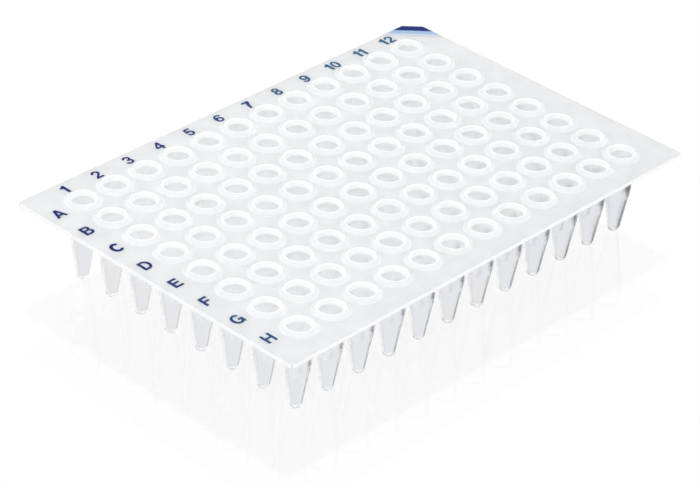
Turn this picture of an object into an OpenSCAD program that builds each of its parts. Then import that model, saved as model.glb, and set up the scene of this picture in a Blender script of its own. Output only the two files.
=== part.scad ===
// Non-skirted well plate for thermal cycling, moulded in one shot from natural polypropylene.
// A thin flat deck carries 8 lettered rows by 12 numbered columns of conical tubes on a 9 mm pitch.
// Each tube hangs under the deck and ends above it in a raised collar.
// The origin is on the floor under the middle of the deck. +X runs from column 1 to column 12,
// +Y runs towards row A, and the tube tips stand at Z = 0.

/* [Tube grid] */
// Number of numbered columns, along X
columns = 12; // [2:1:12]
// Number of lettered rows, along Y
rows = 8; // [2:1:8]
// Distance between neighbouring tube axes, in both directions
pitch = 9; // [8.2:0.1:12]

/* [Deck] */
// Width of deck beyond the axes of the first and the last column
end_margin = 10.5; // [6:0.5:20]
// Width of deck beyond the axes of the first and the last row
side_margin = 8.5; // [6:0.5:20]
// Thickness of the deck sheet
deck_thickness = 0.8; // [0.6:0.01:1.5]
// Radius of the three plain corners
corner_radius = 0.8; // [0.3:0.1:3]
// Leg of the key corner, which is cut off square to the diagonal beside tube A12
key_cut = 3.4; // [1:0.1:6]

/* [Collar] */
// Height of the collar's rim above the deck
collar_height = 0.85; // [0.5:0.01:1.5]
// Width of the rim, from the mouth to the top of the flank
rim_width = 0.37; // [0.3:0.01:0.6]
// Width of the sloping flank, from the rim out to the deck
flank_width = 0.85; // [0.4:0.01:1.1]
// Leg of the lead-in chamfer that guides a cap or a pipette tip into the mouth
lead_in = 0.15; // [0.05:0.01:0.25]

/* [Tube outside] */
// Height from the tips of the tubes to the rims of their collars
plate_height = 20; // [16:0.5:26]
// Draft of the upper body, in degrees a side
body_draft = 1.6; // [0.5:0.1:2.5]
// Leg of the small flare that carries the body into the deck
root_flare = 0.3; // [0.1:0.05:0.6]
// Angle of the lower cone, from side to side
cone_angle = 17.5; // [14:0.5:21]
// Outer radius of the round tip
tip_radius = 1.4; // [1.2:0.01:1.7]
// Radius of the small flat that the tip stands on
tip_flat_radius = 0.4; // [0.2:0.05:0.6]

/* [Tube inside] */
// Radius of the straight mouth, where a cap's plug seats
mouth_radius = 2.73; // [2.2:0.01:3.2]
// Depth of the straight mouth below the rim
mouth_depth = 1; // [0.5:0.1:1.6]
// Width of the shoulder under the mouth
shoulder_width = 0.12; // [0.05:0.01:0.2]
// Draft of the upper bore, in degrees a side
bore_draft = 2; // [1:0.1:2.5]
// Wall of the body just under the deck, measured level
body_wall = 0.56; // [0.45:0.01:0.7]
// Wall of the lower cone, measured level
cone_wall = 0.3; // [0.2:0.01:0.4]
// Wall under the round end of the bore
bottom_wall = 0.45; // [0.3:0.01:0.8]

/* [Hidden] */
$fn = 48;
deck_length = (columns - 1) * pitch + 2 * end_margin;
deck_width = (rows - 1) * pitch + 2 * side_margin;
deck_top = plate_height - collar_height;
deck_under = deck_top - deck_thickness;
deck_middle = deck_top - deck_thickness / 2;

// the slopes of the cone, the body and the upper bore, as radius gained for each millimetre of height
cone_slope = tan(cone_angle / 2);
body_slope = tan(body_draft);
bore_slope = tan(bore_draft);

// the upper bore sets the radius of the collar and of the body round it
bore_top = plate_height - mouth_depth - shoulder_width;
bore_top_radius = mouth_radius - shoulder_width;
collar_rim_radius = mouth_radius + rim_width;
collar_base_radius = collar_rim_radius + flank_width;
body_radius = bore_top_radius - bore_slope * (bore_top - deck_under) + body_wall;

// the round tip runs into the cone at the height where both have one slope
tip_centre = sqrt(tip_radius * tip_radius - tip_flat_radius * tip_flat_radius);
cone_foot = tip_centre - tip_radius * sin(cone_angle / 2);
cone_foot_radius = tip_radius * cos(cone_angle / 2);

// the cone runs up to the drafted body
body_foot = (body_radius - body_slope * deck_under - cone_foot_radius + cone_slope * cone_foot)
    / (cone_slope - body_slope);
body_foot_radius = body_radius - body_slope * (deck_under - body_foot);

// inside, a parallel cone runs from a round end up to the upper bore
bore_end_radius = (cone_foot_radius - cone_wall - cone_slope * (cone_foot - bottom_wall))
    * cos(cone_angle / 2) / (1 - sin(cone_angle / 2));
bore_end_centre = bottom_wall + bore_end_radius;
bore_cone_foot = bore_end_centre - bore_end_radius * sin(cone_angle / 2);
bore_cone_foot_radius = bore_end_radius * cos(cone_angle / 2);
bore_foot = (bore_top_radius - bore_slope * bore_top - bore_cone_foot_radius
    + cone_slope * bore_cone_foot) / (cone_slope - bore_slope);
bore_foot_radius = bore_top_radius - bore_slope * (bore_top - bore_foot);

// how far the bores run out past the rims
through = 1;

// Places a copy of its children on the axis of every tube.
module at_each_tube() {
    for (column = [0 : columns - 1], row = [0 : rows - 1])
        translate([
            (column - (columns - 1) / 2) * pitch,
            ((rows - 1) / 2 - row) * pitch,
            0
        ]) children();
}

// Outline of the deck: three small round corners and the cut key corner.
module deck_outline() {
    difference() {
        union() {
            square([deck_length - 2 * corner_radius, deck_width], center = true);
            square([deck_length, deck_width - 2 * corner_radius], center = true);
            for (x = [-1, 1], y = [-1, 1])
                translate([
                    x * (deck_length / 2 - corner_radius),
                    y * (deck_width / 2 - corner_radius)
                ]) circle(corner_radius);
        }
        translate([deck_length / 2, deck_width / 2])
            rotate(45) square(key_cut * sqrt(2), center = true);
    }
}

module deck() {
    translate([0, 0, deck_under]) linear_extrude(deck_thickness) deck_outline();
}

// Half section of the part of a disc that lies beside the axis, between two heights.
module round_end(radius, centre, low, high) {
    intersection() {
        translate([0, centre]) circle(radius);
        translate([0, low]) square([radius, high - low]);
    }
}

// Solid form of one tube with its collar. Its widest part starts inside the deck.
module tube_outside() {
    rotate_extrude() {
        round_end(tip_radius, tip_centre, 0, cone_foot);
        polygon([
            [0, cone_foot],
            [cone_foot_radius, cone_foot],
            [body_foot_radius, body_foot],
            [body_radius - body_slope * root_flare, deck_under - root_flare],
            [body_radius + root_flare, deck_under],
            [body_radius + root_flare, deck_middle],
            [collar_base_radius, deck_middle],
            [collar_base_radius, deck_top],
            [collar_rim_radius, plate_height],
            [0, plate_height]
        ]);
    }
}

// The bore of one tube, open at the rim.
module tube_inside() {
    rotate_extrude() {
        round_end(bore_end_radius, bore_end_centre, bottom_wall, bore_cone_foot);
        polygon([
            [0, bore_cone_foot],
            [bore_cone_foot_radius, bore_cone_foot],
            [bore_foot_radius, bore_foot],
            [bore_top_radius, bore_top],
            [mouth_radius, plate_height - mouth_depth],
            [mouth_radius, plate_height - lead_in],
            [mouth_radius + lead_in + through, plate_height + through],
            [0, plate_height + through]
        ]);
    }
}

module plate() {
    color("ghostwhite") difference() {
        union() {
            deck();
            at_each_tube() tube_outside();
        }
        at_each_tube() tube_inside();
    }
}

plate();
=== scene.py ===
from math import cos, radians, sin

import bpy
from mathutils import Matrix, Vector
from mathutils.geometry import tessellate_polygon


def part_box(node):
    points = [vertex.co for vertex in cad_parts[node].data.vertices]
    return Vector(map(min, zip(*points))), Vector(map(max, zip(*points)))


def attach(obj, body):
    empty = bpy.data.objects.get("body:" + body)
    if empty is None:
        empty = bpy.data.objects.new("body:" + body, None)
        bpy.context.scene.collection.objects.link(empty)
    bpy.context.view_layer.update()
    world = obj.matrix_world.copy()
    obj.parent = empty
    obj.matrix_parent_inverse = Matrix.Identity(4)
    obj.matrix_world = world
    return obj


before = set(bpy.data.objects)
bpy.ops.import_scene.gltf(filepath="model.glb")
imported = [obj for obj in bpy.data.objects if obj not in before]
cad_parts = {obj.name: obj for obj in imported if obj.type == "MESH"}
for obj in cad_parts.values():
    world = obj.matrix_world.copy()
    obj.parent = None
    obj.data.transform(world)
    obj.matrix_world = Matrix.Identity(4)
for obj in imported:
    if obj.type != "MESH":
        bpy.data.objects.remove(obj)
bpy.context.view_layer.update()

# ---------------------------------------------------------------------------------------------------
# Camera. A long lens stands in front of the plate's lettered corner H1 and looks down on the deck
# from about 32 degrees, with the body of the camera rolled slightly.
scene = bpy.context.scene
plate_low, plate_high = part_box("plate")
aim_place = (-0.02039, -0.01732)
aim_drop = 0.00055
aim_point = Vector((*aim_place, plate_high.z - aim_drop))
camera_distance = 0.6122
camera_azimuth = radians(-47.83)
camera_elevation = radians(32.35)
camera_roll = radians(3.19)
lens_mm = 154.29
sensor_mm = 36.0
nearest_seen = 0.01

away = Vector((
    sin(camera_azimuth) * cos(camera_elevation),
    -cos(camera_azimuth) * cos(camera_elevation),
    sin(camera_elevation),
))
camera_data = bpy.data.cameras.new("camera")
camera_data.lens = lens_mm
camera_data.sensor_width = sensor_mm
camera_data.clip_start = nearest_seen
camera = bpy.data.objects.new("camera", camera_data)
turn = away.to_track_quat("Z", "Y").to_matrix().to_4x4() @ Matrix.Rotation(camera_roll, 4, "Z")
camera.matrix_world = Matrix.Translation(aim_point + away * camera_distance) @ turn
scene.collection.objects.link(camera)
scene.camera = camera


# ---------------------------------------------------------------------------------------------------
# Floor, sky and lamps. The plate stands on a wide sheet of clear acrylic, held just over a white
# table, under an even white sky with three large soft boxes. A small lamp high above draws the
# plate's shadow on the table. A black card past the right end darkens the edges of clear tubes.
sky_light = 1.0
sky_tint = (0.985, 0.993, 1.0, 1)
shade_half_angle = radians(14)
shade_soft_edge = radians(12)
shade_tone = (0.75, 0.757, 0.788, 1)
floor_side = 6.0
floor_gap = 0.00003
sheet_polish = 0.09
sheet_roughness = 0.04
table_depth = 0.0078
table_glow = 0.864
table_matte = 0.12
table_light = 1.0
key_place = (-0.7, 0.25, 0.75)
key_size = (0.6, 0.6)
key_watts = 0.8
strip_place = (0.2, 0.9, 0.6)
strip_size = (0.9, 0.3)
strip_watts = 0.6
fill_place = (0.5, -0.8, 0.7)
fill_size = (0.5, 0.5)
fill_watts = 0.2
top_strength = 1.1
top_spread = radians(1.0)
wall_bounces = 64
matte_bounces = 32
card_gap = 0.08
card_shift = -0.1
card_width = 0.22
card_height = 0.4
card_tone = (0.0, 0.02, 0.04, 1)


def wire(tree, source, output, target, socket):
    """Joins one node's output to another node's input."""
    tree.links.new(source.outputs[output], target.inputs[socket])


def work_out(tree, operation, first, first_output, second, second_output=None):
    """A Math node on one output and either a number or a second output."""
    node = tree.nodes.new("ShaderNodeMath")
    node.operation = operation
    wire(tree, first, first_output, node, 0)
    if second_output is None:
        node.inputs[1].default_value = second
    else:
        wire(tree, second, second_output, node, 1)
    return node


def fade(tree, source, output, low, high, start=0.0, end=1.0):
    """A smooth change from start to end while the source goes from low to high."""
    node = tree.nodes.new("ShaderNodeMapRange")
    node.interpolation_type = "SMOOTHSTEP"
    node.inputs["From Min"].default_value = low
    node.inputs["From Max"].default_value = high
    node.inputs["To Min"].default_value = start
    node.inputs["To Max"].default_value = end
    wire(tree, source, output, node, 0)
    return node


def blend_colours(tree, share, output, first, second):
    """A colour that goes from the first to the second as the share goes from 0 to 1. Each of the two
    is a plain colour or another such node."""
    node = tree.nodes.new("ShaderNodeMix")
    node.data_type = "RGBA"
    wire(tree, share, output, node, 0)
    for socket, colour in (("A", first), ("B", second)):
        if isinstance(colour, bpy.types.Node):
            wire(tree, colour, "Result", node, socket)
        else:
            node.inputs[socket].default_value = colour
    return node


def new_material(name):
    """An empty node material: the material, its tree and its output node."""
    material = bpy.data.materials.new(name)
    material.use_nodes = True
    tree = material.node_tree
    tree.nodes.clear()
    return material, tree, tree.nodes.new("ShaderNodeOutputMaterial")


def mix_shaders(tree, factor, factor_output, first, second):
    """A Mix Shader of two shaders, by a factor that another node gives."""
    node = tree.nodes.new("ShaderNodeMixShader")
    wire(tree, factor, factor_output, node, 0)
    wire(tree, first, 0, node, 1)
    wire(tree, second, 0, node, 2)
    return node


def shown_rays(tree, path):
    """1 for rays that show the backdrop: from the camera, off gloss and through clear plastic."""
    straight = work_out(tree, "MAXIMUM", path, "Is Camera Ray", path, "Is Glossy Ray")
    return work_out(tree, "MAXIMUM", straight, 0, path, "Is Transmission Ray")


def white_sky():
    """The camera sees white, and other rays get an even light. Clear walls see it shaded straight
    past the plate and under the floor, and shaded alike above the floor for the mirror image."""
    world = bpy.data.worlds.new("white_sky")
    world.use_nodes = True
    tree = world.node_tree
    tree.nodes.clear()
    path = tree.nodes.new("ShaderNodeLightPath")
    place = tree.nodes.new("ShaderNodeTexCoord")
    parts = tree.nodes.new("ShaderNodeSeparateXYZ")
    wire(tree, place, "Generated", parts, 0)
    height = work_out(tree, "ABSOLUTE", parts, "Z", 0)
    below = tree.nodes.new("ShaderNodeCombineXYZ")
    wire(tree, parts, "X", below, "X")
    wire(tree, parts, "Y", below, "Y")
    wire(tree, work_out(tree, "MULTIPLY", height, 0, -1), 0, below, "Z")
    along = tree.nodes.new("ShaderNodeVectorMath")
    along.operation = "DOT_PRODUCT"
    along.inputs[1].default_value = -away
    wire(tree, below, 0, along, 0)
    wide = cos(shade_half_angle + shade_soft_edge)
    share = fade(tree, along, "Value", wide, cos(shade_half_angle))
    through = work_out(tree, "MULTIPLY", share, 0, path, "Is Transmission Ray")
    tone = blend_colours(tree, through, 0, (1, 1, 1, 1), shade_tone)
    shown = tree.nodes.new("ShaderNodeBackground")
    wire(tree, tone, "Result", shown, "Color")
    light = tree.nodes.new("ShaderNodeBackground")
    light.inputs["Color"].default_value = sky_tint
    light.inputs["Strength"].default_value = sky_light
    either = mix_shaders(tree, shown_rays(tree, path), 0, light, shown)
    out = tree.nodes.new("ShaderNodeOutputWorld")
    wire(tree, either, 0, out, "Surface")
    scene.world = world


def clear_sheet():
    """Clear, with a polish that mirrors the plate faintly."""
    material, tree, out = new_material("clear_sheet")
    clear = tree.nodes.new("ShaderNodeBsdfTransparent")
    polish = tree.nodes.new("ShaderNodeBsdfGlossy")
    polish.inputs["Roughness"].default_value = sheet_roughness
    sheet = tree.nodes.new("ShaderNodeMixShader")
    sheet.inputs[0].default_value = sheet_polish
    wire(tree, clear, 0, sheet, 1)
    wire(tree, polish, 0, sheet, 2)
    wire(tree, sheet, 0, out, "Surface")
    return material


def white_table():
    """The camera sees a lit white table with its shadow, clear walls see the sky past it, and other
    rays get its light from below."""
    material, tree, out = new_material("white_table")
    path = tree.nodes.new("ShaderNodeLightPath")
    glow = tree.nodes.new("ShaderNodeEmission")
    glow.inputs["Strength"].default_value = table_glow
    matte = tree.nodes.new("ShaderNodeBsdfDiffuse")
    matte.inputs["Color"].default_value = (table_matte, table_matte, table_matte, 1)
    lit = tree.nodes.new("ShaderNodeAddShader")
    wire(tree, glow, 0, lit, 0)
    wire(tree, matte, 0, lit, 1)
    light = tree.nodes.new("ShaderNodeEmission")
    light.inputs["Strength"].default_value = table_light
    clear = tree.nodes.new("ShaderNodeBsdfTransparent")
    unseen = mix_shaders(tree, shown_rays(tree, path), 0, light, clear)
    every = mix_shaders(tree, path, "Is Camera Ray", unseen, lit)
    wire(tree, every, 0, out, "Surface")
    return material


def black_card():
    """A flat black material, the same from both sides."""
    material, tree, out = new_material("black_card")
    tone = tree.nodes.new("ShaderNodeEmission")
    tone.inputs["Color"].default_value = card_tone
    wire(tree, tone, 0, out, "Surface")
    return material


def flat_sheet(name, corners, place, material):
    """A sheet of the studio, with four corners."""
    mesh = bpy.data.meshes.new(name)
    mesh.from_pydata(corners, [], [(0, 1, 2, 3)])
    mesh.materials.append(material)
    sheet = bpy.data.objects.new(name, mesh)
    sheet.location = place
    scene.collection.objects.link(sheet)
    return sheet


def soft_box(name, place, size, watts):
    """A rectangular lamp that faces the plate, and that the polished sheet doesn't mirror."""
    light = bpy.data.lights.new(name, "AREA")
    light.shape = "RECTANGLE"
    light.size, light.size_y = size
    light.energy = watts
    lamp = bpy.data.objects.new(name, light)
    lamp.location = place
    lamp.rotation_euler = Vector(place).to_track_quat("Z", "Y").to_euler()
    lamp.visible_glossy = False
    scene.collection.objects.link(lamp)


# Only the camera sees the sheet. Light and the rays inside clear walls go on past it.
reach = floor_side / 2
square = [(-reach, -reach, 0), (reach, -reach, 0), (reach, reach, 0), (-reach, reach, 0)]
sheet = flat_sheet("floor", square, (0, 0, plate_low.z - floor_gap), clear_sheet())
sheet.visible_diffuse = False
sheet.visible_glossy = False
sheet.visible_transmission = False
sheet.visible_shadow = False
table = flat_sheet("table", square, (0, 0, plate_low.z - table_depth), white_table())

# Only the rays inside clear walls see the card.
wide = card_width / 2
tall = card_height / 2
upright = [(0, -wide, -tall), (0, wide, -tall), (0, wide, tall), (0, -wide, tall)]
card = flat_sheet("black_card", upright, (plate_high.x + card_gap, card_shift, 0), black_card())
card.visible_camera = False
card.visible_diffuse = False
card.visible_glossy = False
card.visible_shadow = False

white_sky()
soft_box("key", key_place, key_size, key_watts)
soft_box("strip", strip_place, strip_size, strip_watts)
soft_box("fill", fill_place, fill_size, fill_watts)

# The small lamp draws the crisp shadow. It lights the table and nothing else.
top_light = bpy.data.lights.new("top", "SUN")
top_light.energy = top_strength
top_light.angle = top_spread
top_lamp = bpy.data.objects.new("top", top_light)
scene.collection.objects.link(top_lamp)
lit_by_top = bpy.data.collections.new("lit_by_top")
lit_by_top.objects.link(table)
top_lamp.light_linking.receiver_collection = lit_by_top

scene.view_settings.view_transform = "Standard"
scene.cycles.max_bounces = wall_bounces
scene.cycles.transmission_bounces = wall_bounces
scene.cycles.glossy_bounces = wall_bounces
scene.cycles.transparent_max_bounces = wall_bounces
scene.cycles.diffuse_bounces = matte_bounces
scene.cycles.blur_glossy = 0.0


# ---------------------------------------------------------------------------------------------------
# Plate. Deck, 96 collars and 96 thin-walled tubes, moulded in one shot from natural polypropylene,
# which is clear and milky at once: the polished tubes are nearly clear, the satin deck is cloudier,
# and the rims and the narrow edges of the deck look white.
well_pitch = 0.009
columns = 12
rows = 8
collar_height = 0.00085
deck_thickness = 0.0008
rim_radius = 0.0031
collar_radius = 0.00405
rim_depth = 0.00125
upper_bore_foot = 0.0165
cone_line = (0.00106, 0.1539)
body_line = (0.00244, 0.0279)
deck_top = plate_high.z - collar_height
deck_underside = deck_top - deck_thickness
deck_blur = 0.0012
upper_bore_blur = 0.001
collar_blur = (0.00002, 0.00008)
foot_blur = (0.00003, 0.00002)
edge_blur = (0.0002, 0.00005)
tube_clarity = 1.0
deck_clarity = 0.35
collar_clarity = 0.18
rim_clarity = 0.02
edge_clarity = 0.1
tube_roughness = 0.0
bore_roughness = 0.2
upper_bore_roughness = 0.4
rub_share = 0.27
rub_stops = (0.35, 0.65)
deck_roughness = 0.1
grain_share = 0.25
grain_stops = (0.3, 0.7)
haze_depth = 0.002
plastic_colour = (0.992, 0.996, 1.0, 1)
# Painted shade: the flat deck is coloured greyer than the same plastic on rims and tubes, for the light
# that passes through the thin deck. Its paler patches vary at random.
deck_shade_colour = (0.845, 0.855, 0.868, 1)
deck_shade_pale_patch_colour = (0.895, 0.902, 0.91, 1)
cloud_stops = (0.35, 0.65)
plastic_ior = 1.49
flow_size = 0.0045
flow_height = 0.000005
flow_detail = 3
streak_width = 0.0006
streak_detail = 2
streak_height = 0.000001
streak_stretch = 0.03


def distance_to_axis(tree, parts):
    """How far a point of the plate is from the axis of the tube nearest to it."""
    squares = []
    for axis in ("X", "Y"):
        shifted = work_out(tree, "ADD", parts, axis, well_pitch / 2)
        near = tree.nodes.new("ShaderNodeMath")
        near.operation = "WRAP"
        near.inputs[1].default_value = well_pitch / 2
        near.inputs[2].default_value = -well_pitch / 2
        wire(tree, shifted, 0, near, 0)
        squares.append(work_out(tree, "MULTIPLY", near, 0, near, 0))
    both = work_out(tree, "ADD", squares[0], 0, squares[1], 0)
    return work_out(tree, "POWER", both, 0, 0.5)


def within_wells(tree, parts):
    """1 over the rectangle of wells and 0 on the margins round it."""
    inside = None
    for axis, count in (("X", columns), ("Y", rows)):
        size = work_out(tree, "ABSOLUTE", parts, axis, 0)
        here = work_out(tree, "LESS_THAN", size, 0, count * well_pitch / 2)
        inside = here if inside is None else work_out(tree, "MULTIPLY", inside, 0, here, 0)
    return inside


def collar_share(tree, parts, radius, wells, reach, low):
    """1 on each collar, out to a given radius and down to a given height."""
    close = fade(tree, radius, 0, reach - collar_blur[0], reach + collar_blur[1], 1.0, 0.0)
    high = fade(tree, parts, "Z", low - foot_blur[0], low + foot_blur[1])
    share = work_out(tree, "MULTIPLY", close, 0, high, 0)
    return work_out(tree, "MULTIPLY", share, 0, wells, 0)


def bore_share(tree, parts, radius):
    """1 on the inside of a tube, by the middle of its wall, which runs up as a cone and then as
    the steeper body. Each line is its radius at the floor and the radius gained with height."""
    walls = []
    for start, gain in (cone_line, body_line):
        run = work_out(tree, "MULTIPLY", parts, "Z", gain)
        walls.append(work_out(tree, "ADD", run, 0, start))
    wall = work_out(tree, "MINIMUM", walls[0], 0, walls[1], 0)
    return work_out(tree, "LESS_THAN", radius, 0, wall, 0)


def edge_share(tree, parts):
    """1 on the narrow faces round the deck."""
    share = None
    for axis, half in (("X", plate_high.x), ("Y", plate_high.y)):
        size = work_out(tree, "ABSOLUTE", parts, axis, 0)
        near = fade(tree, size, 0, half - edge_blur[0], half - edge_blur[1])
        share = near if share is None else work_out(tree, "MAXIMUM", share, 0, near, 0)
    return share


def blend(tree, share, first, second):
    """A value that goes from the first to the second as the share goes from 0 to 1. Each of the two
    is a plain number or another node's value."""
    node = tree.nodes.new("ShaderNodeMix")
    wire(tree, share, 0, node, 0)
    for socket, value in (("A", first), ("B", second)):
        if isinstance(value, bpy.types.Node):
            wire(tree, value, 0, node, socket)
        else:
            node.inputs[socket].default_value = value
    return node


def noise(tree, place, output, size, detail):
    """Soft noise whose grains are about the given size across, in metres."""
    node = tree.nodes.new("ShaderNodeTexNoise")
    node.inputs["Scale"].default_value = 1 / size
    node.inputs["Detail"].default_value = detail
    wire(tree, place, output, node, "Vector")
    return node


def varied(tree, grains, stops, level, share):
    """A level that the grains of a noise take down and up by a share of it."""
    return fade(tree, grains, "Fac", *stops, level * (1 - share), level * (1 + share))


def natural_polypropylene():
    """Clear in the thin polished tubes, milky on the deck, white on rims and edges. The flat deck is
    coloured greyer than the rest, a painted shade for the light lost through it. The melt leaves
    slow waves and paler patches in the deck, and the mould leaves fine upright lines on the tubes."""
    material, tree, out = new_material("natural_polypropylene")
    place = tree.nodes.new("ShaderNodeTexCoord")
    parts = tree.nodes.new("ShaderNodeSeparateXYZ")
    wire(tree, place, "Object", parts, 0)
    deck = fade(tree, parts, "Z", deck_underside - deck_blur, deck_underside)
    radius = distance_to_axis(tree, parts)
    wells = within_wells(tree, parts)
    bore = work_out(tree, "MULTIPLY", bore_share(tree, parts, radius), 0, wells, 0)
    collar = collar_share(tree, parts, radius, wells, collar_radius, deck_top)
    rim = collar_share(tree, parts, radius, wells, rim_radius, plate_high.z - rim_depth)
    edge = edge_share(tree, parts)

    upright = tree.nodes.new("ShaderNodeMapping")
    upright.inputs["Scale"].default_value = (1, 1, streak_stretch)
    wire(tree, place, "Object", upright, 0)
    streaks = noise(tree, upright, 0, streak_width, streak_detail)
    flow = noise(tree, place, "Object", flow_size, flow_detail)

    clarity = blend(tree, deck, tube_clarity, deck_clarity)
    clarity = blend(tree, collar, clarity, collar_clarity)
    clarity = blend(tree, rim, clarity, rim_clarity)
    clarity = blend(tree, edge, clarity, edge_clarity)

    # The flat deck between collars, rims and edges gets painted shade: a greyer colour than the rest,
    # for the light lost through it, in patches that vary at random.
    raised = work_out(tree, "MAXIMUM", work_out(tree, "MAXIMUM", collar, 0, rim, 0), 0, edge, 0)
    flat = work_out(tree, "SUBTRACT", deck, 0, raised, 0)
    flat.use_clamp = True
    cloud = fade(tree, flow, "Fac", *cloud_stops)
    shaded_deck_with_patches = blend_colours(tree, cloud, 0, deck_shade_colour, deck_shade_pale_patch_colour)
    colour = blend_colours(tree, flat, 0, plastic_colour, shaded_deck_with_patches)

    grain = varied(tree, flow, grain_stops, deck_roughness, grain_share)
    outside = blend(tree, deck, tube_roughness, grain)
    upper_start = upper_bore_foot - upper_bore_blur
    upper = fade(tree, parts, "Z", upper_start, upper_bore_foot + upper_bore_blur)
    rubbed = varied(tree, streaks, rub_stops, upper_bore_roughness, rub_share)
    inside = blend(tree, upper, bore_roughness, rubbed)
    roughness = blend(tree, bore, outside, inside)

    waves = tree.nodes.new("ShaderNodeBump")
    waves.inputs["Distance"].default_value = flow_height
    wire(tree, flow, "Fac", waves, "Height")
    lines = tree.nodes.new("ShaderNodeBump")
    lines.inputs["Distance"].default_value = streak_height
    tube_lines = work_out(tree, "MULTIPLY", streaks, "Fac", fade(tree, deck, 0, 0, 1, 1.0, 0.0), 0)
    wire(tree, tube_lines, 0, lines, "Height")
    wire(tree, waves, 0, lines, "Normal")

    plastic = tree.nodes.new("ShaderNodeBsdfPrincipled")
    plastic.inputs["IOR"].default_value = plastic_ior
    plastic.inputs["Subsurface Weight"].default_value = 1.0
    plastic.inputs["Subsurface Radius"].default_value = (1, 1, 1)
    plastic.inputs["Subsurface Scale"].default_value = haze_depth
    wire(tree, colour, "Result", plastic, "Base Color")
    wire(tree, clarity, 0, plastic, "Transmission Weight")
    wire(tree, roughness, 0, plastic, "Roughness")
    wire(tree, lines, 0, plastic, "Normal")
    wire(tree, plastic, 0, out, "Surface")
    return material


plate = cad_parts["plate"]
plate.data.materials.clear()
plate.data.materials.append(natural_polypropylene())


# ---------------------------------------------------------------------------------------------------
# Row letters A to H. Dark blue ink, screen-printed on the deck beside the first column in one pass
# with the numbers and the corner mark. A bold plain face, all of it strokes, bowls and arcs.
ink_thickness = 0.00002
ink_relief = 0.000005
ink_colour = (0.004, 0.016, 0.165, 1)
ink_thin_colour = (0.01, 0.12, 0.23, 1)
ink_full_until = -0.08
ink_thin_from = 0.02
patch_size = 0.0005
patch_detail = 3
patch_stops = (0.5, 0.75)
patch_share = 0.15
ink_roughness = 0.45
ink_gloss = 0.1
letter_height = 0.003
letter_shift = 0.0071
letter_pitch = 0.00875
letter_drop = 0.0004


def bow(x, y, across, up, start, end, points=11):
    """Points along part of an oval, from one angle to another, in degrees."""
    turns = [radians(start + (end - start) * step / (points - 1)) for step in range(points)]
    return [(x + across * cos(turn), y + up * sin(turn)) for turn in turns]


def blue_print():
    """Opaque blue ink with a soft sheen. It is full round A1, and thins towards H and 12."""
    material, tree, out = new_material("blue_print")
    place = tree.nodes.new("ShaderNodeTexCoord")
    cloud = noise(tree, place, "Object", patch_size, patch_detail)
    parts = tree.nodes.new("ShaderNodeSeparateXYZ")
    wire(tree, place, "Object", parts, 0)
    along = work_out(tree, "SUBTRACT", parts, "X", parts, "Y")
    wearing = fade(tree, along, 0, ink_full_until, ink_thin_from)
    patches = fade(tree, cloud, "Fac", *patch_stops, 0.0, patch_share)
    thin = work_out(tree, "ADD", wearing, 0, patches, 0)
    tone = blend_colours(tree, thin, 0, ink_colour, ink_thin_colour)
    relief = tree.nodes.new("ShaderNodeBump")
    relief.inputs["Distance"].default_value = ink_relief
    wire(tree, cloud, "Fac", relief, "Height")
    ink = tree.nodes.new("ShaderNodeBsdfPrincipled")
    ink.inputs["Roughness"].default_value = ink_roughness
    ink.inputs["Specular IOR Level"].default_value = ink_gloss
    wire(tree, tone, "Result", ink, "Base Color")
    wire(tree, relief, 0, ink, "Normal")
    wire(tree, ink, 0, out, "Surface")
    return material


def printed(name, shapes, material):
    """A film of ink on the deck. Each shape is a list of outlines: the first is its outside and the
    rest are the holes in it, in metres."""
    points = []
    faces = []
    for outlines in shapes:
        first = len(points)
        loops = [[Vector((x, y, 0)) for x, y in outline] for outline in outlines]
        flat = [point for loop in loops for point in loop]
        count = len(flat)
        for height in (ink_thickness, 0.0):
            points.extend((point.x, point.y, deck_top + height) for point in flat)
        for a, b, c in tessellate_polygon(loops):
            side = (flat[b] - flat[a]).cross(flat[c] - flat[a]).z
            top = (a, b, c) if side > 0 else (a, c, b)
            faces.append([first + corner for corner in top])
            faces.append([first + count + corner for corner in reversed(top)])
        start = first
        for number, loop in enumerate(loops):
            size = len(loop)
            area = sum(loop[i - 1].x * loop[i].y - loop[i].x * loop[i - 1].y for i in range(size))
            outward = (area > 0) == (number == 0)
            for i in range(size):
                near = start + i
                far = start + (i + 1) % size
                wall = (far, near, near + count, far + count)
                faces.append(wall if outward else wall[::-1])
            start += size
    mesh = bpy.data.meshes.new(name)
    mesh.from_pydata(points, [], faces)
    mesh.materials.append(material)
    film = bpy.data.objects.new(name, mesh)
    scene.collection.objects.link(film)
    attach(film, "root")


def set_glyph(outlines, height, left, base):
    """A glyph's outlines at its size and place on the deck, with its lower left corner given."""
    return [[(left + x * height, base + y * height) for x, y in outline] for outline in outlines]


def widest(outlines):
    """How far a glyph's outlines reach to the right, in glyph heights."""
    return max(x for outline in outlines for x, y in outline)


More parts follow.
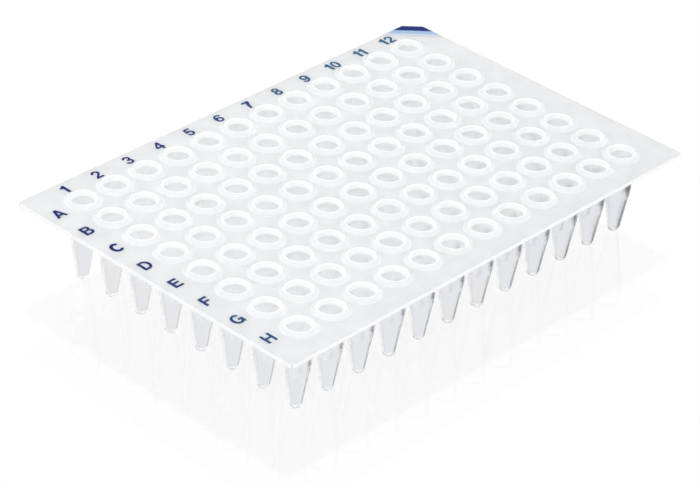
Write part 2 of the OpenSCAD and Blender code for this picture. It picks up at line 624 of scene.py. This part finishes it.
LETTERS = {
    "A": [
        [(0, 0), (0.33, 1), (0.57, 1), (0.9, 0), (0.67, 0), (0.61, 0.2), (0.29, 0.2), (0.23, 0)],
        [(0.345, 0.37), (0.555, 0.37), (0.45, 0.72)],
    ],
    "B": [
        [(0, 0), (0, 1), (0.46, 1)] + bow(0.46, 0.745, 0.31, 0.255, 90, -55)
        + bow(0.5, 0.285, 0.32, 0.285, 52, -90),
        [(0.22, 0.6), (0.22, 0.83), (0.43, 0.83)] + bow(0.43, 0.715, 0.12, 0.115, 90, -90, 7),
        [(0.22, 0.17), (0.22, 0.43), (0.45, 0.43)] + bow(0.46, 0.3, 0.14, 0.13, 90, -90, 7),
    ],
    "C": [bow(0.47, 0.5, 0.47, 0.53, 36, 324, 19) + bow(0.48, 0.5, 0.22, 0.31, 318, 42, 17)],
    "D": [
        [(0, 0), (0, 1), (0.38, 1)] + bow(0.38, 0.5, 0.46, 0.5, 90, -90, 15),
        [(0.22, 0.18), (0.22, 0.82), (0.37, 0.82)] + bow(0.37, 0.5, 0.25, 0.32, 90, -90, 13),
    ],
    "E": [[
        (0, 0), (0, 1), (0.74, 1), (0.74, 0.81), (0.22, 0.81), (0.22, 0.61),
        (0.69, 0.61), (0.69, 0.43), (0.22, 0.43), (0.22, 0.19), (0.76, 0.19), (0.76, 0),
    ]],
    "F": [[
        (0, 0), (0, 1), (0.71, 1), (0.71, 0.81), (0.22, 0.81),
        (0.22, 0.58), (0.63, 0.58), (0.63, 0.4), (0.22, 0.4), (0.22, 0),
    ]],
    "G": [
        bow(0.47, 0.5, 0.47, 0.52, 40, 312, 18)
        + [(0.78, 0), (0.9, 0), (0.9, 0.54), (0.5, 0.54), (0.5, 0.36), (0.7, 0.36)]
        + bow(0.47, 0.5, 0.25, 0.34, 320, 46, 16),
    ],
    "H": [[
        (0, 0), (0, 1), (0.2, 1), (0.2, 0.6), (0.6, 0.6), (0.6, 1),
        (0.8, 1), (0.8, 0), (0.6, 0), (0.6, 0.42), (0.2, 0.42), (0.2, 0),
    ]],
}

ink = blue_print()
first_column = -(columns - 1) / 2 * well_pitch
first_row = (rows - 1) / 2 * well_pitch
letters = []
for row, letter in enumerate(sorted(LETTERS)):
    outlines = LETTERS[letter]
    middle = first_column - letter_shift
    left = middle - widest(outlines) * letter_height / 2
    base = first_row - letter_drop - row * letter_pitch - letter_height / 2
    letters.append(set_glyph(outlines, letter_height, left, base))
printed("row_letters", letters, ink)


# ---------------------------------------------------------------------------------------------------
# Column numbers 1 to 12, in the same ink, printed on the deck behind the first row. They stand
# upright beside the letters and are a touch smaller.
number_height = 0.00285
number_rise = 0.0059
number_shift = 0.0002
number_pitch = 0.008915
digit_gap = 0.12
nine_width = 0.73
DIGITS = {
    "0": [bow(0.36, 0.5, 0.36, 0.51, 0, 345, 24), bow(0.36, 0.5, 0.15, 0.34, 0, 345, 24)],
    "1": [[(0.2, 0), (0.2, 0.66), (0, 0.66), (0, 0.83), (0.14, 0.86), (0.25, 1), (0.46, 1), (0.46, 0)]],
    "2": [
        [(0, 0), (0.72, 0), (0.72, 0.18), (0.32, 0.18)] + bow(0.36, 0.68, 0.36, 0.33, -38, 180, 15)
        + bow(0.36, 0.68, 0.15, 0.16, 180, -30, 9) + [(0.1, 0.22)],
    ],
    "3": [
        bow(0.35, 0.72, 0.34, 0.29, 175, -42, 13) + bow(0.35, 0.28, 0.37, 0.29, 45, -178, 14)
        + bow(0.35, 0.28, 0.16, 0.13, 180, 450, 13) + [(0.27, 0.41), (0.27, 0.57), (0.33, 0.57)]
        + bow(0.34, 0.7, 0.14, 0.13, -90, 175, 12),
    ],
    "4": [
        [
            (0.45, 0), (0.45, 0.22), (0, 0.22), (0, 0.4), (0.41, 1), (0.65, 1),
            (0.65, 0.4), (0.77, 0.4), (0.77, 0.22), (0.65, 0.22), (0.65, 0),
        ],
        [(0.19, 0.4), (0.45, 0.4), (0.45, 0.77)],
    ],
    "5": [
        [(0.11, 1), (0.67, 1), (0.67, 0.82), (0.26, 0.82), (0.24, 0.65)]
        + bow(0.36, 0.33, 0.36, 0.34, 96, -172, 17) + bow(0.36, 0.32, 0.15, 0.16, 195, 500, 14)
        + [(0.04, 0.44)],
    ],
    "6": [
        bow(0.37, 0.33, 0.35, 0.34, 100, -170, 17) + bow(0.44, 0.46, 0.44, 0.55, 175, 35, 13)
        + [(0.6, 0.7)] + bow(0.43, 0.56, 0.2, 0.28, 50, 165, 8),
        bow(0.38, 0.32, 0.15, 0.17, 0, 345, 16),
    ],
    "7": [
        [(0, 1), (0.7, 1), (0.7, 0.84)] + bow(1.0, 0.0, 0.6, 0.84, 120, 180, 8) + [(0.16, 0)]
        + bow(1.0, 0.0, 0.84, 1.2, 172, 138, 7) + [(0, 0.81)],
    ],
    "8": [
        bow(0.36, 0.73, 0.32, 0.28, 215, -35, 15) + bow(0.36, 0.28, 0.36, 0.295, 48, -228, 18),
        bow(0.36, 0.725, 0.13, 0.12, 0, 340, 14),
        bow(0.36, 0.29, 0.155, 0.14, 0, 340, 14),
    ],
}
DIGITS["9"] = [[(nine_width - x, 1 - y) for x, y in outline] for outline in DIGITS["6"]]

numbers = []
for column in range(columns):
    digits = [DIGITS[digit] for digit in str(column + 1)]
    gaps = digit_gap * (len(digits) - 1)
    width = (sum(widest(digit) for digit in digits) + gaps) * number_height
    left = first_column + number_shift + column * number_pitch - width / 2
    base = first_row + number_rise - number_height / 2
    for digit in digits:
        numbers.append(set_glyph(digit, number_height, left, base))
        left += (widest(digit) + digit_gap) * number_height
printed("column_numbers", numbers, ink)


# ---------------------------------------------------------------------------------------------------
# Corner mark. A band of the same ink along the cut corner at A12, which shows which way round the
# plate goes. It runs out to the edges of the deck. Along its inner side the film turns pale blue and
# then fades to grey: a painted reflection of the band in the underside of the deck.
corner_cut = 0.0034
mark_reach = 0.0061
painted_reflection_reach = 0.0018
reflection_fade_reach = 0.0034
mark_inset = 0.00005
mark_blur = 0.0004
wander_size = 0.0008
wander_reach = 0.0005
# Painted reflection: a pale blue and then greyish film along the band's inner side, standing in for the
# band's reflection in the underside of the deck.
painted_reflection_colour = (0.36, 0.50, 0.72, 1)
reflection_fade_colour = (0.74, 0.79, 0.84, 1)


def print_with_painted_reflection():
    """The band of ink, then a painted reflection of it in the underside of the deck: pale blue, then
    almost gone.
    """
    material, tree, out = new_material("print_with_painted_reflection")
    place = tree.nodes.new("ShaderNodeTexCoord")
    parts = tree.nodes.new("ShaderNodeSeparateXYZ")
    wire(tree, place, "Object", parts, 0)
    to_corner = work_out(tree, "ADD", parts, "X", parts, "Y")
    cloud = noise(tree, place, "Object", wander_size, patch_detail)
    wander = work_out(tree, "MULTIPLY", cloud, "Fac", wander_reach)
    across = work_out(tree, "ADD", to_corner, 0, wander, 0)
    band_edge = plate_high.x + plate_high.y - mark_reach
    into_painted_reflection = fade(tree, across, 0, band_edge - mark_blur, band_edge, 1.0, 0.0)
    pale = blend_colours(tree, into_painted_reflection, 0, ink_colour, painted_reflection_colour)
    reflection_fading = fade(tree, across, 0, band_edge - reflection_fade_reach, band_edge - painted_reflection_reach, 1.0, 0.0)
    tone = blend_colours(tree, reflection_fading, 0, pale, reflection_fade_colour)
    ink = tree.nodes.new("ShaderNodeBsdfPrincipled")
    ink.inputs["Roughness"].default_value = ink_roughness
    ink.inputs["Specular IOR Level"].default_value = ink_gloss
    wire(tree, tone, "Result", ink, "Base Color")
    wire(tree, ink, 0, out, "Surface")
    return material


edge_x = plate_high.x - mark_inset
edge_y = plate_high.y - mark_inset
inner_reach = mark_reach + reflection_fade_reach
band = [
    (edge_x - inner_reach, edge_y),
    (edge_x - corner_cut, edge_y),
    (edge_x, edge_y - corner_cut),
    (edge_x, edge_y - inner_reach),
]
printed("corner_mark", [[band[::-1]]], print_with_painted_reflection())
